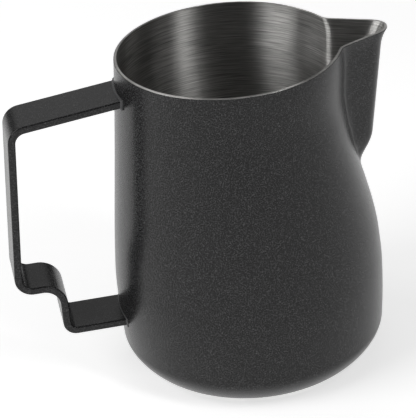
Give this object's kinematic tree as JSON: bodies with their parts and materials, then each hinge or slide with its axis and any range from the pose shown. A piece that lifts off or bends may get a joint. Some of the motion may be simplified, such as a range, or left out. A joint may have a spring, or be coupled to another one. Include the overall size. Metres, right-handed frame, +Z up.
{
  "type": "milk frothing pitcher",
  "caption": "Steel milk frothing jug with a pressed pouring spout, a dark speckled coat outside, brushed steel inside and a bent flat-strip handle welded on.",
  "frame": {"origin": "on the jug's axis, in the plane of the ring that it stands on", "axes": "+Z up, +X towards the spout, -X towards the handle; symmetric about the XZ plane"},
  "size_m": [0.1365, 0.0942, 0.1165],
  "materials": {
    "brushed_steel": "brushed round the jug, bright at the rim",
    "body_coat": "satin powder coat with a fine pale speckle",
    "handle_coat": "satin powder coat with a fine pale speckle",
    "weld_coat": "satin powder coat over a small fillet weld"
  },
  "bodies": {
    "root": {"body_shell": "brushed_steel", "body_coating": "body_coat", "handle_strip": "handle_coat", "upper_weld_bead": "weld_coat", "lower_weld_bead": "weld_coat"}
  },
  "joints": []
}
